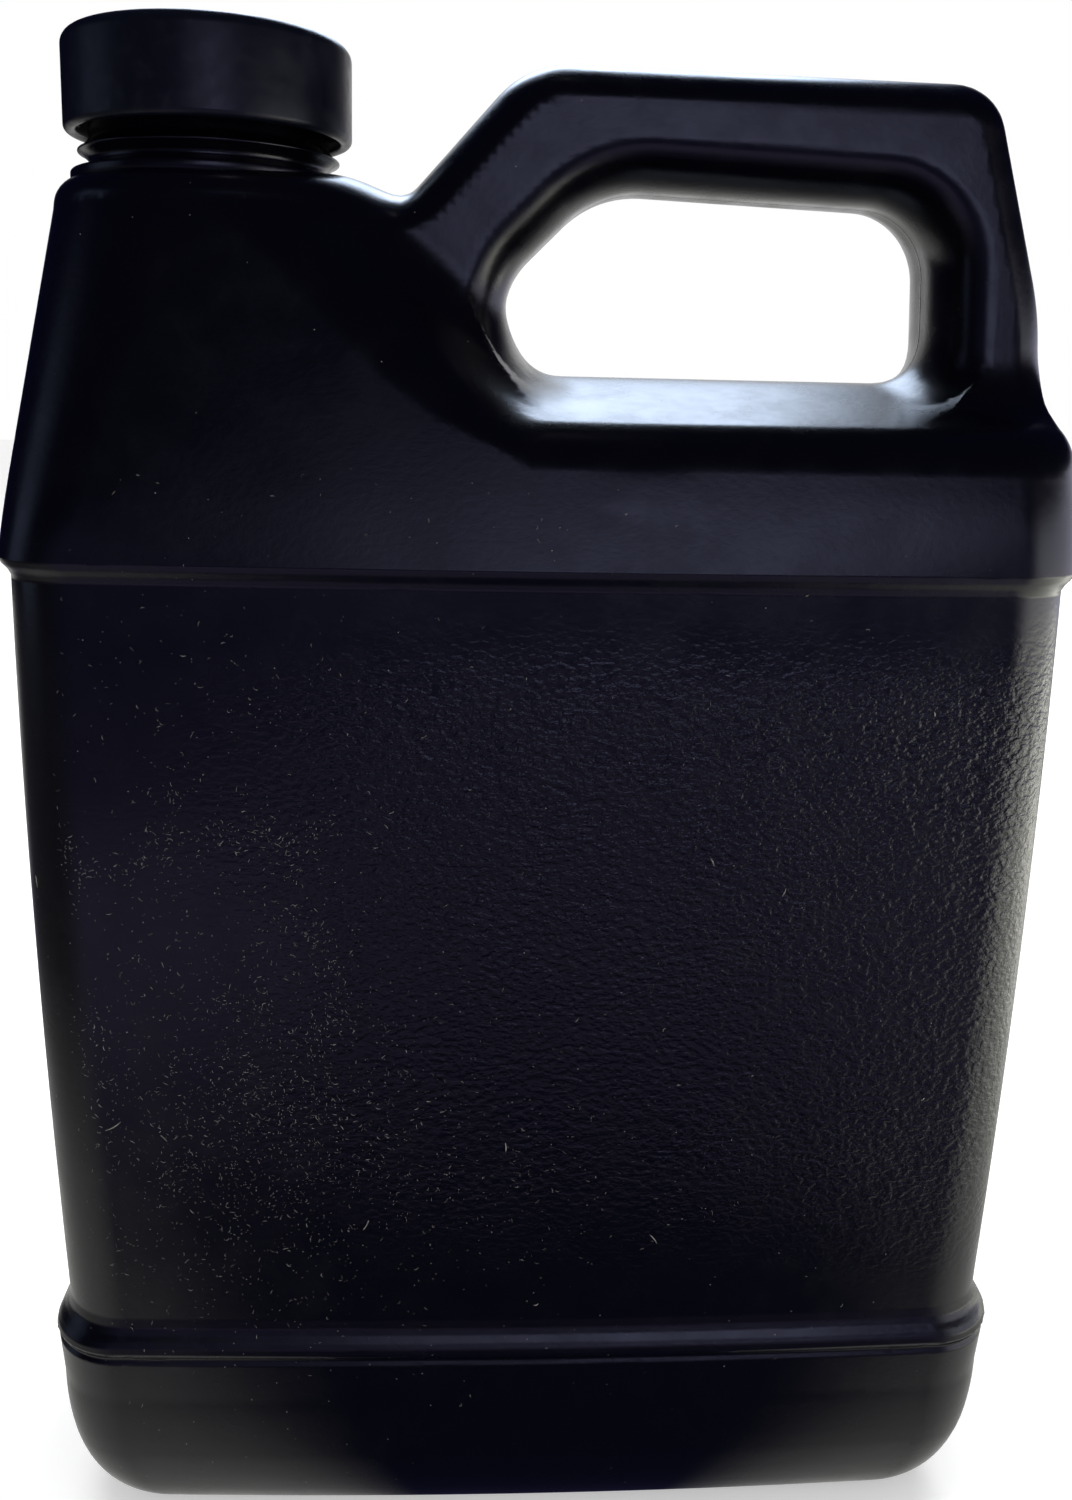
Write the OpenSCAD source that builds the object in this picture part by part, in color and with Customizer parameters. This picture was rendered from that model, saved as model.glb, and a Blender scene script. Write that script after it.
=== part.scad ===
// Handled oblong jug with a screw cap, blown in one piece with a hollow through-handle.
// X runs along the width with the neck at the left, Y along the depth with the front at -Y,
// and Z up from the table. All sizes are in millimetres.

/* [Body] */
// Width across the waist, the widest line of the jug
body_w = 132; // [126:0.2:136]
// Depth across the waist
body_d = 57; // [50:0.5:60]
// Height of the waist line above the table
waist_z = 130; // [120:1:136]
// Radius of the upright corners at the waist
corner_r = 9.5; // [6:0.5:12]
// How far the broad faces swell towards their middle
face_bow = 1.1; // [0:0.1:2]
// Wall thickness of the blown shell
wall = 1.1; // [0.8:0.1:1.6]

/* [Panel and foot] */
// Depth of the label panel below the waist
panel_recess = 1.2; // [0.6:0.1:2]
// How much the panel narrows on each side from its top to its foot
panel_taper = 2.7; // [0:0.1:4]
// Height of the seam under the lower bead
seam_z = 26; // [22:0.5:32]
// Height of the bead between the seam and the panel
bead_h = 5.5; // [4:0.5:8]
// How far the bead stands out from the foot of the panel
bead_out = 1.6; // [0.8:0.1:2.2]
// Depth of the groove at the seam
seam_groove = 0.35; // [0:0.05:0.5]
// Height over which the foot curves in to the table
foot_h = 20; // [14:1:21]
// How far the foot curves in at the table
foot_in = 8; // [6:0.5:12]
// Height of the push-up under the base
push_up = 2.2; // [1:0.1:4]

/* [Shoulder and tower] */
// Height from the waist to where the shoulder lip starts to turn over
lip_rise = 13; // [10:0.5:16]
// Radius of the shoulder lip
lip_r = 4; // [2:0.5:6]
// Fall of the ledge from the hand hole to the lip, in degrees
ledge_slope = 16; // [14:0.5:22]
// Radius of the round tower top under the neck
tower_r = 19.3; // [18:0.1:20.5]
// Height of the tower top above the lip
tower_h = 32.6; // [29:0.2:35]
// Radius of the edge round the tower top
tower_edge_r = 3.6; // [2:0.2:4.5]

/* [Handle] */
// Height of the top of the grip above the lip
handle_h = 47.7; // [45:0.1:51]
// Thickness of the grip between its top and the hand hole
grip_h = 15.4; // [12:0.2:18]
// Depth of the handle from front to back
grip_d = 24; // [20:0.5:28]
// Left side of the hand hole
hole_x0 = -5.3; // [-6:0.1:0]
// Right side of the hand hole
hole_x1 = 50.6; // [46:0.1:52]
// Fall from the tower top to the saddle between the tower and the handle
saddle_drop = 1.3; // [0.6:0.1:3.6]

/* [Neck and thread] */
// Distance of the neck axis from the left end
neck_inset = 23; // [22:0.1:24]
// Outside diameter of the neck wall
neck_d = 29.8; // [29:0.1:30.4]
// Bore of the neck
bore_d = 26; // [24:0.2:27]
// Height of the neck above the tower top
neck_h = 14.7; // [13:0.1:16]
// Diameter over the neck thread
thread_d = 32.1; // [31.5:0.1:32.6]
// Rise of the thread in one turn, six threads to the inch
pitch = 4.23; // [3.8:0.01:4.6]
// Length of the neck thread in turns
thread_turns = 1.25; // [1:0.05:1.4]
// Height of the small ring at the root of the neck
root_ring_h = 1; // [0.6:0.1:1.4]

/* [Cap] */
// Outside diameter of the cap
cap_d = 35.8; // [35:0.1:37]
// Thickness of the cap top
cap_top_t = 1.5; // [1:0.1:2]
// Height of the cap
cap_h = 11.7; // [11:0.1:12.5]
// Radius of the top edge of the cap
cap_edge_r = 1.6; // [0.8:0.1:2.2]
// Clearance between the cap and the neck, on the radius
fit_clear = 0.35; // [0.3:0.01:0.5]
// Thickness of the sealing liner
liner_t = 1; // [0.6:0.1:1.4]

/* [Hidden] */

grip_in = 5;        // how far the handle's outer edges round in, seen from the front
grip_round = 8.8;     // depth over which they round
hole_in = 5.7;        // the same for the edge of the hand hole
hole_round = 10;
ledge_top = 2;      // half width of the flat on top of the ledge
tuck = 0.4;         // how far the tower starts inside the shoulder
stand = 0.08;       // how far it stands out of it above the lip

half_w = body_w / 2;
half_d = body_d / 2;
lip_z = waist_z + lip_rise;
tower_z = lip_z + tower_h;
grip_z = lip_z + handle_h;
saddle_z = tower_z - saddle_drop;
neck_x = neck_inset - half_w;
dome_z = tower_z - tower_edge_r;
panel_z0 = seam_z + bead_h;
panel_z1 = waist_z - 2.2;
panel_in = panel_recess + panel_taper;
bead_in = panel_in - bead_out;
neck_r = neck_d / 2;
lip_top = tower_z + neck_h;
liner_z = lip_top;
cap_z1 = liner_z + liner_t + cap_top_t;
cap_z0 = cap_z1 - cap_h;
thread_h = thread_d / 2 - neck_r;
thread_top = lip_top - 1.2;
cap_bore_r = thread_d / 2 + fit_clear;
cap_crest_r = neck_r + fit_clear;
// The ridge of the ledge is the floor of the hand hole.
lip_y = half_depth(lip_z) - lip_r;
ledge_y = lip_y + lip_r * sin(ledge_slope);
hole_z0 = lip_z + lip_r * cos(ledge_slope) + (ledge_y - ledge_top) * tan(ledge_slope);
hole_z1 = grip_z - grip_h;

function lerp(a, b, u) = a + (b - a) * u;
// Half depth, half width and corner radius of the shoulder and tower at height z
function rise(z) = (z - waist_z) / (dome_z - waist_z);
function half_depth(z) = lerp(half_d, tower_r, rise(z));
function left_x(z) = lerp(-half_w, neck_x - tower_r, rise(z));
function right_x(z) = lerp(half_w, half_w - 2, rise(z));
function tower_corner(z) = lerp(corner_r, tower_r, rise(z));
// Edge of the tower's broad facet, and the round that turns from it to the handle
function facet_x(z) = lookup(z, [[lip_z, 1], [lip_z + 2, -6.3], [lip_z + 5.5, -11.8], [lip_z + 12, -18],
    [lip_z + 19, -25], [lip_z + 24, -31], [dome_z, neck_x]]);
function facet_r(z) = lookup(z, [[lip_z, 12.5], [lip_z + 12, 13], [lip_z + 19, 15], [dome_z, tower_r]]);

// Quarter round of a plan corner, turning from angle a0
function quarter(cx, cy, r, a0, z, n) = [for (i = [0:n]) let (a = a0 + 90 * i / n)
    [cx + r * cos(a), cy + r * sin(a), z]];
// Points between two corners of a broad face that swells by bow
function swell(x0, x1, y, bow, z, m) = [for (i = [1:m]) let (u = 2 * i / (m + 1) - 1)
    [lerp(x0, x1, (u + 1) / 2), y + sign(y) * bow * (1 - u * u), z]];
// Level section from x0 to x1 with half depth d, corner radii r0 and r1, and swollen faces
function section(z, x0, x1, d, r0, r1, bow, n = 5, m = 4) =
    let (y = d - bow, c0 = min(r0, y - 0.05), c1 = min(r1, y - 0.05)) concat(
        quarter(x0 + c0, c0 - y, c0, 180, z, n), swell(x0 + c0, x1 - c1, -y, bow, z, m),
        quarter(x1 - c1, c1 - y, c1, 270, z, n), quarter(x1 - c1, y - c1, c1, 0, z, n),
        swell(x1 - c1, x0 + c0, y, bow, z, m), quarter(x0 + c0, y - c0, c0, 90, z, n));

// Solid through a stack of sections that all have the same number of points
module skin(rings) {
    n = len(rings[0]);
    k = len(rings);
    polyhedron(points = [for (r = rings) each r], convexity = 8, faces = concat(
        [[for (i = [0:n - 1]) i]],
        [for (j = [0:k - 2], i = [0:n - 1]) let (a = j * n + i, b = j * n + (i + 1) % n)
            each [[a, a + n, b], [b, a + n, b + n]]],
        [[for (i = [n - 1:-1:0]) (k - 1) * n + i]]));
}

// How far the side stands in from the waist between the foot and the waist
function panel_side(z) = panel_recess
    + panel_taper * pow(max(0, (panel_z1 - z) / (panel_z1 - panel_z0)), 1.8);

// Side profile of the body below the waist: [height, inset from the waist], shrunk by t
function foot_profile(t) = concat(
    [[push_up + t, bead_in + foot_in + 9], [t, bead_in + foot_in + 3]],
    [for (a = [90:-15:15]) [foot_h - (foot_h - t) * sin(a), bead_in + 0.7 + foot_in - (foot_in - t) * cos(a)]],
    [[foot_h + 1, bead_in + 0.5 + t], [seam_z - 0.5, bead_in + 0.25 + t], [seam_z, bead_in + 0.2 + seam_groove + t],
        [seam_z + 0.5, bead_in + 0.15 + t]]);
function panel_profile(t) = concat(
    [[seam_z + bead_h * 0.42, bead_in + t], [seam_z + bead_h * 0.72, lerp(bead_in, panel_in, 0.3) + t],
        [panel_z0, lerp(bead_in, panel_in, 0.85) + t]],
    [for (z = [panel_z0 + 2:(panel_z1 - panel_z0 - 3) / 7:panel_z1]) [z, panel_side(z) + t]],
    [[panel_z1 + 0.8, panel_recess * 0.7 + t], [panel_z1 + 1.5, panel_recess * 0.25 + t], [waist_z, t]]);

// Body from the table to the ridge of the ledge, shrunk by t
module body_form(t) {
    skin(concat(
        [for (p = concat(foot_profile(t), panel_profile(t)))
            let (near = min(p[1], panel_in) * 0.75 + max(0, p[1] - panel_in))
            section(p[0], p[1] - half_w, half_w - p[1], half_d - near - (p[1] > panel_in ? 0 : t * 0.25),
                max(4, corner_r - t), max(4, corner_r - t), face_bow)],
        [for (u = [0.5, 1]) let (z = lerp(waist_z, lip_z, u))
            section(z, left_x(z) + t, right_x(z) - t, half_depth(z) - t, tower_corner(z) - t, corner_r - t,
                face_bow * (1 - u))],
        [for (a = [25, 50, 90 - ledge_slope]) let (z = lip_z + (lip_r - t) * sin(a))
            section(z, neck_x, right_x(z) - t, lip_y + (lip_r - t) * cos(a), corner_r, corner_r - t, 0)],
        [for (u = [0.3, 0.65, 1]) let (y = lerp(ledge_y, ledge_top, u), z = hole_z0 - (y - ledge_top) * tan(ledge_slope))
            section(z - t / cos(ledge_slope), neck_x, right_x(z) - t, y, corner_r, corner_r - t, 0)]));
}

// Tower from inside the shoulder to its round top under the neck, shrunk by t
module tower_form(t) {
    skin(concat(
        [let (z = lip_z - 3) section(z, left_x(z) + t + tuck, facet_x(z) + facet_r(z) - t, half_depth(z) - t - tuck,
            tower_corner(z) - t, facet_r(z) - t, 0)],
        [for (z = [lip_z, lip_z + 2, lip_z + 5.5, lip_z + 9, lip_z + 12, lip_z + 15.5, lip_z + 19, lip_z + 21.5, lip_z + 24,
                lip_z + 26.5])
            section(z, left_x(z) + t - stand, facet_x(z) + facet_r(z) - t, half_depth(z) - t + stand,
                tower_corner(z) - t, facet_r(z) - t, 0)],
        [for (a = [0:18:90]) let (r = tower_r - tower_edge_r + (tower_edge_r - t) * cos(a))
            section(dome_z + (tower_edge_r - t) * sin(a), neck_x - r, neck_x + r, r, r, r, 0)]));
}

function unit(v) = v / norm(v);
function left_of(v) = [-v[1], v[0]];
// Outline with rounded corners from points [x, z, radius], drawn in by t on its inner side
function outline(p, t, n = 5) = [for (i = [0:len(p) - 1]) let (
        q = [for (c = p) [c[0], c[1]]], k = len(p),
        a = unit(q[i] - q[(i + k - 1) % k]), b = unit(q[(i + 1) % k] - q[i]),
        turn = a[0] * b[1] - a[1] * b[0] > 0 ? 1 : -1,
        v = q[i] + t * (left_of(a) + left_of(b)) / (1 + a * b),
        r = max(0.2, p[i][2] - turn * t), sweep = acos(a * b),
        c = v - a * r * tan(sweep / 2) + turn * r * left_of(a),
        from = -turn * r * left_of(a))
    each [for (j = [0:n]) let (s = turn * sweep * j / n)
        [c[0] + from[0] * cos(s) - from[1] * sin(s), c[1] + from[0] * sin(s) + from[1] * cos(s)]]];

// Plate standing in the middle plane, whose edges round in by edge_in over edge_depth. As a cut
// it flares outwards instead and runs on past both faces.
module rounded_plate(p, t, half, edge_in, edge_depth, cut = false) {
    levels = [for (s = [1, -1], a = (s > 0 ? [90, 68, 46, 23, 0] : [0, 23, 46, 68, 90]))
        let (past = cut && a == 90 ? 0.5 : 0)
        [s * (half - edge_depth + edge_depth * sin(a) + past), edge_in * (1 - cos(a)) + past]];
    skin([for (l = levels) [for (q = outline(p, cut ? -t - l[1] : t + l[1])) [q[0], l[0], q[1]]]]);
}

leg_x = hole_x1 + 13.8;
handle_outline = [[neck_x, lip_z - 4, 2], [half_w - 0.7, lip_z - 4, 2], [leg_x, lip_z + 18, 40],
    [leg_x - 8.2, grip_z - 0.7, 7.5], [hole_x0 + 2.3, grip_z + 0.1, 5], [hole_x0 - 12.5, saddle_z, 4],
    [neck_x, saddle_z, 2]];
hole_outline = [[hole_x0, hole_z0, 8], [hole_x1 + 0.4, hole_z0, 6.5], [hole_x1 - 0.8, hole_z1 - 0.6, 9],
    [hole_x0 + 12, hole_z1 + 1, 10], [hole_x0, hole_z1 - 11, 8]];

// Hollow handle, its two roots and the web beside the tower, shrunk by t
module handle_form(t) {
    half = grip_d / 2 - t;
    difference() {
        rounded_plate(handle_outline, t, half, grip_in, grip_round - t);
        rounded_plate(hole_outline, t, half, hole_in, hole_round - t, cut = true);
    }
}

module blown_form(t) {
    body_form(t);
    tower_form(t);
    handle_form(t);
}

// One thread ridge: turns of it from height z0, its root at root_r and its crest at crest_r
module thread_ridge(root_r, crest_r, z0, turns, root_w = 2.2, crest_w = 0.9) {
    steps = ceil(turns * 32);
    skin([for (i = [0:steps]) let (a = 360 * turns * i / steps, z = z0 + pitch * turns * i / steps,
            full = min(1, min(i, steps - i) / 5 + 0.1), r = lerp(root_r, crest_r, full),
            s = crest_r > root_r ? 1 : -1, back = root_r - s * 0.5)
        [for (q = [[back, s * root_w / 2], [r, s * crest_w / 2], [r, -s * crest_w / 2], [back, -s * root_w / 2]])
            [q[0] * cos(a), q[0] * sin(a), z + q[1]]]]);
}

// Neck wall with a rounded lip, and the small ring and the hollow at its root
module neck() {
    root = tower_z - wall * 0.7;
    rotate_extrude($fn = 96) polygon(concat(
        [[0, root], [neck_r + 1.4, root], [neck_r + 1.4, tower_z + root_ring_h - 0.3],
            [neck_r + 1.1, tower_z + root_ring_h]],
        [for (a = [0:30:90]) [neck_r + 0.9 - 0.9 * sin(a), tower_z + root_ring_h + 0.9 - 0.9 * cos(a)]],
        [[neck_r, lip_top - 0.5], [neck_r - 0.5, lip_top], [0, lip_top]]));
}

module bottle() {
    color([0.035, 0.037, 0.045]) difference() {
        union() {
            // The blown shell is brought to its stated overall size as one moulded form.
            resize([body_w, body_d, grip_z + 0.1]) difference() {
                blown_form(0);
                blown_form(wall);
                translate([neck_x, 0, dome_z]) cylinder(d = bore_d - 2, h = tower_edge_r + 1, $fn = 48);
            }
            translate([neck_x, 0, 0]) neck();
            translate([neck_x, 0, 0])
                thread_ridge(neck_r, thread_d / 2, thread_top - 1.1 - pitch * thread_turns, thread_turns);
        }
        translate([neck_x, 0, tower_z - 4]) cylinder(d = bore_d, h = neck_h + 5, $fn = 96);
    }
}

module cap() {
    under = 0.3; // how far the cap thread bears below the neck thread
    color([0.03, 0.031, 0.036]) translate([neck_x, 0, 0]) {
        rotate_extrude($fn = 96) polygon(concat(
            [[0, cap_z1 - cap_top_t], [cap_bore_r, cap_z1 - cap_top_t], [cap_bore_r, cap_z0 + 0.4],
                [cap_bore_r + 0.3, cap_z0]],
            [for (a = [0:30:90]) [cap_d / 2 - 0.8 + 0.8 * sin(a), cap_z0 + 0.8 - 0.8 * cos(a)]],
            [for (a = [0:18:90]) [cap_d / 2 - cap_edge_r + cap_edge_r * cos(a), cap_z1 - cap_edge_r + cap_edge_r * sin(a)]],
            [[0, cap_z1]]));
        rotate([0, 0, 180]) thread_ridge(cap_bore_r, cap_crest_r,
            thread_top - 1.1 - pitch * (thread_turns - 0.5) - 2.2 - under, 1);
    }
}

module cap_liner() {
    color([0.9, 0.9, 0.88]) translate([neck_x, 0, liner_z])
        cylinder(r = cap_bore_r - fit_clear, h = liner_t, $fn = 96);
}

bottle();
cap();
cap_liner();
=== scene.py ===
"""Looks of the leather conditioner bottle: a black blown jug with a through-handle and a screw cap.

Sizes are in millimetres until a mesh is made. X runs along the width with the neck at the left,
Y along the depth with the front at -Y, and Z up from the table. The skin of the jug is the zero
surface of a distance field that repeats the shapes of the CAD source with softer joins.
"""

import math

import bpy
import numpy as np
from mathutils import Matrix


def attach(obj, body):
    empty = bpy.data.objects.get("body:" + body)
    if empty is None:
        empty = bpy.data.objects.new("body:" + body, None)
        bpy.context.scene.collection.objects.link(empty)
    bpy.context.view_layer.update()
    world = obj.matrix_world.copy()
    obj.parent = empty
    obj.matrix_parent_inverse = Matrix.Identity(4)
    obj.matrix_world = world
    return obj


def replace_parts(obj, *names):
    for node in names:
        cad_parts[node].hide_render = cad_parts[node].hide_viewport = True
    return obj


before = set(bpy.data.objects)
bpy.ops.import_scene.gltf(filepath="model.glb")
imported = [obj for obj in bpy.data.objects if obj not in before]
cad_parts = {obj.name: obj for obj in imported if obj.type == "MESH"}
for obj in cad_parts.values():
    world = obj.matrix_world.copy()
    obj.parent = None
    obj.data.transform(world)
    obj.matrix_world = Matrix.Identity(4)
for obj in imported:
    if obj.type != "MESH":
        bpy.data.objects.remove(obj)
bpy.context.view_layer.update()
MM = 0.001  # metres in a millimetre

# The photograph's camera: place, turn, tilt and roll, focal length and optical centre in pixels
PHOTO_W, PHOTO_H = 1072, 1500
CAM_AT = np.array([-10.673, -190.832, 149.824])
CAM_YAW, CAM_PITCH, CAM_ROLL = 0.056, -0.187, 0.022
CAM_F, CAM_CX, CAM_CY = 1408.7, 536, 665
SENSOR = 36

# Body, as in the CAD source
HALF_W, HALF_D = 66.0, 28.5
WAIST_Z = 130.0
CORNER_R = 9.5
FACE_BOW = 1.1
WALL = 1.1
PANEL_RECESS, PANEL_TAPER = 1.2, 2.7
SEAM_Z, BEAD_H, BEAD_OUT, SEAM_GROOVE = 26.0, 5.5, 1.6, 0.35
FOOT_H, FOOT_IN, PUSH_UP = 20.0, 8.0, 2.2
LIP_Z, LIP_R = 143.0, 4.0
LEDGE_SLOPE = math.radians(16)
LEDGE_TOP = 2.0
TOWER_R, TOWER_Z, TOWER_EDGE_R = 19.3, 175.6, 3.6
NECK_X = -43.0
SADDLE_Z = 174.3
GRIP_Z, GRIP_H, GRIP_HALF = 190.7, 15.4, 12.0
HOLE_X0, HOLE_X1 = -5.3, 50.6
OUTER_EDGE = (5.0, 8.8)  # how far the handle's outer edge rounds in, and over what depth
HOLE_EDGE = (5.7, 10.0)

# Neck and cap
NECK_R, BORE_R, LIP_TOP = 14.9, 13.0, 190.3
RING_R, RING_TOP = 17.2, 176.5
BEAD_R, BEAD_Z = 16.3, 178.9
THREAD_R, THREAD_PITCH, THREAD_TURNS, THREAD_TOP = 16.05, 4.23, 1.25, 189.1
CAP_R, CAP_BORE_R, CAP_CREST_R = 17.9, 16.4, 15.25
CAP_Z0, CAP_Z1, CAP_TOP_T = 181.1, 192.8, 1.5
CAP_TOP_EDGE, CAP_LOW_EDGE = 1.6, 0.8

# Softness of the joins between the three blown shapes
TOWER_JOIN, HANDLE_JOIN = 14.0, 7.0
GRID = 1.0  # spacing of the grid that carries the jug's skin

# Values that follow from those above
DOME_Z = TOWER_Z - TOWER_EDGE_R
PANEL_Z0, PANEL_Z1 = SEAM_Z + BEAD_H, WAIST_Z - 2.2
PANEL_IN = PANEL_RECESS + PANEL_TAPER
BEAD_IN = PANEL_IN - BEAD_OUT
LEG_X = HOLE_X1 + 13.8


def mix(a, b, u):
    return a + (b - a) * u


def rise(z):
    """0 at the waist and 1 at the tower's top edge."""
    return (z - WAIST_Z) / (DOME_Z - WAIST_Z)


def half_depth(z):
    return mix(HALF_D, TOWER_R, rise(z))


def left_x(z):
    return mix(-HALF_W, NECK_X - TOWER_R, rise(z))


def right_x(z):
    return mix(HALF_W, HALF_W - 2, rise(z))


def tower_corner(z):
    return mix(CORNER_R, TOWER_R, rise(z))


LIP_Y = half_depth(LIP_Z) - LIP_R
LEDGE_Y = LIP_Y + LIP_R * math.sin(LEDGE_SLOPE)
HOLE_Z0 = LIP_Z + LIP_R * math.cos(LEDGE_SLOPE) + (LEDGE_Y - LEDGE_TOP) * math.tan(LEDGE_SLOPE)
HOLE_Z1 = GRIP_Z - GRIP_H


# camera

def camera_axes():
    """The camera's right, up and forward directions."""
    forward = np.array([math.sin(CAM_YAW) * math.cos(CAM_PITCH), math.cos(CAM_YAW) * math.cos(CAM_PITCH),
                        math.sin(CAM_PITCH)])
    level = np.array([math.cos(CAM_YAW), -math.sin(CAM_YAW), 0.0])
    up = np.cross(level, forward)
    c, s = math.cos(CAM_ROLL), math.sin(CAM_ROLL)
    return c * level + s * up, c * up - s * level, forward


def add_camera():
    right, up, forward = camera_axes()
    data = bpy.data.cameras.new("photo_camera")
    data.sensor_width = SENSOR
    data.lens = CAM_F / PHOTO_H * SENSOR
    data.shift_x = (PHOTO_W / 2 - CAM_CX) / PHOTO_H
    data.shift_y = (CAM_CY - PHOTO_H / 2) / PHOTO_H
    data.clip_start = 0.01
    camera = bpy.data.objects.new("photo_camera", data)
    rows = [[*axis] for axis in zip(right, up, -forward, CAM_AT * MM)]
    camera.matrix_world = Matrix(rows + [[0, 0, 0, 1]])
    bpy.context.scene.collection.objects.link(camera)
    bpy.context.scene.camera = camera


def photo_to_front(px, py, y=-27.6):
    """Point on the plane y that the photograph shows at a pixel."""
    right, up, forward = camera_axes()
    ray = forward + right * (px - CAM_CX) / CAM_F - up * (py - CAM_CY) / CAM_F
    return CAM_AT + ray * (y - CAM_AT[1]) / ray[1]


# fields

def soft_table(points, soften, low=0.0, high=200.0, step=0.1):
    """Heights and values of a lookup whose corners are eased over soften millimetres."""
    z = np.arange(low, high, step)
    v = np.interp(z, *zip(*points))
    n = max(1, int(soften / step))
    kernel = np.ones(n) / n
    for _ in range(2):
        v = np.convolve(np.pad(v, n, mode="edge"), kernel, mode="same")[n:-n]
    return z, v


def side_insets():
    """How far the side stands in from the waist at each height below it."""
    turn = np.radians(np.arange(90, -1, -3))
    foot = [(FOOT_H - FOOT_H * math.sin(a), BEAD_IN + 0.7 + FOOT_IN - FOOT_IN * math.cos(a)) for a in turn]
    seam = [(SEAM_Z - 0.6, BEAD_IN + 0.25), (SEAM_Z, BEAD_IN + 0.2 + SEAM_GROOVE), (SEAM_Z + 0.6, BEAD_IN + 0.15)]
    bead = [(SEAM_Z + BEAD_H * u, mix(BEAD_IN, PANEL_IN, s))
            for u, s in ((0.14, 0.0), (0.32, 0.1), (0.46, 0.34), (0.6, 0.66), (0.76, 0.9), (0.95, 1.0))]
    panel = [(z, PANEL_RECESS + PANEL_TAPER * ((PANEL_Z1 - z) / (PANEL_Z1 - PANEL_Z0)) ** 1.8)
             for z in np.linspace(PANEL_Z0 + 2, PANEL_Z1, 30)]
    waist = [(PANEL_Z1 + 0.8, PANEL_RECESS * 0.7), (PANEL_Z1 + 1.5, PANEL_RECESS * 0.25), (WAIST_Z, 0.0)]
    return foot + seam + bead + panel + waist


INSET = tuple(np.array(side_insets()).T)
FACET_X = soft_table([(LIP_Z, -2), (LIP_Z + 2, -10), (LIP_Z + 5.5, -16), (LIP_Z + 12, -24), (LIP_Z + 19, -31),
                      (LIP_Z + 24, -36), (DOME_Z, NECK_X)], 5)
FACET_R = soft_table([(LIP_Z, 14.5), (LIP_Z + 12, 17), (LIP_Z + 19, 18.5), (DOME_Z, TOWER_R)], 6)


def section_field(x, y, x0, x1, depth, r0, r1, bow):
    """Distance to a level section from x0 to x1 with rounded corners and swollen broad faces."""
    middle = (x0 + x1) / 2
    r = np.minimum(np.where(x < middle, r0, r1), depth - bow - 0.05)
    u = np.clip(2 * (x - x0 - r0) / np.maximum(x1 - x0 - r0 - r1, 0.1) - 1, -1, 1)
    qx = np.abs(x - middle) - (x1 - x0) / 2 + r
    qy = np.abs(y) - depth + bow * u * u + r
    return np.hypot(np.maximum(qx, 0), np.maximum(qy, 0)) + np.minimum(np.maximum(qx, qy), 0) - r


def round_meet(a, b, r):
    """What lies in both fields, with the edge between them rounded."""
    return np.minimum(np.maximum(a, b), -r) + np.hypot(np.maximum(a + r, 0), np.maximum(b + r, 0))


def body_field(x, y, z):
    low = z < WAIST_Z
    inset = np.interp(z, *INSET)
    zu = np.maximum(z, WAIST_Z)
    near = np.minimum(inset, PANEL_IN) * 0.75 + np.maximum(inset - PANEL_IN, 0)
    x0 = np.where(low, inset - HALF_W, left_x(zu))
    x1 = np.where(low, HALF_W - inset, right_x(zu))
    depth = np.where(low, HALF_D - near, half_depth(zu))
    left_r = np.where(low, CORNER_R, tower_corner(np.minimum(zu, DOME_Z)))
    bow = FACE_BOW * np.clip((LIP_Z - 3 - z) / (LIP_Z - 3 - WAIST_Z), 0, 1) ** 2
    side = section_field(x, y, x0, x1, depth, left_r, CORNER_R, bow)
    ridge = np.sqrt(y * y + LEDGE_TOP ** 2) - LEDGE_TOP
    roof = (z - HOLE_Z0 + ridge * math.tan(LEDGE_SLOPE)) * math.cos(LEDGE_SLOPE)
    inner = section_field(x, y, -HALF_W, HALF_W, HALF_D, CORNER_R, CORNER_R, FACE_BOW) + BEAD_IN + FOOT_IN + 3
    arch = np.clip(-inner / 6, 0, 1)
    base = PUSH_UP * arch * arch * (3 - 2 * arch) - z
    return np.maximum(round_meet(side, roof, LIP_R), base)


def tower_field(x, y, z):
    zc = np.clip(z, LIP_Z - 5, DOME_Z)
    r1 = np.interp(zc, *FACET_R)
    side = section_field(x, y, left_x(zc), np.interp(zc, *FACET_X) + r1, half_depth(zc), tower_corner(zc), r1, 0.0)
    # Below the lip the tower shrinks into the body
    side = side + 0.25 * np.clip(LIP_Z - 2.5 - z, 0, 9)
    return np.maximum(round_meet(side, z - TOWER_Z, TOWER_EDGE_R), LIP_Z - 9 - z)


def rounded_outline(corners, n=24):
    """Points along an outline given as corners [x, z, radius]."""
    q = np.array([c[:2] for c in corners], float)
    out = []
    for i, (_, _, r) in enumerate(corners):
        a = q[i] - q[i - 1]
        b = q[(i + 1) % len(q)] - q[i]
        a, b = a / np.linalg.norm(a), b / np.linalg.norm(b)
        cross, dot = a[0] * b[1] - a[1] * b[0], float(a @ b)
        turn, sweep = (1 if cross > 0 else -1), math.acos(dot)
        left = np.array([-a[1], a[0]]) * turn
        centre = q[i] - a * r * math.tan(sweep / 2) + left * r
        for s in np.linspace(0, turn * sweep, n):
            c, d = math.cos(s), math.sin(s)
            out.append(centre + np.array([-left[0] * c + left[1] * d, -left[0] * d - left[1] * c]) * r)
    return np.array(out)


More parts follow.
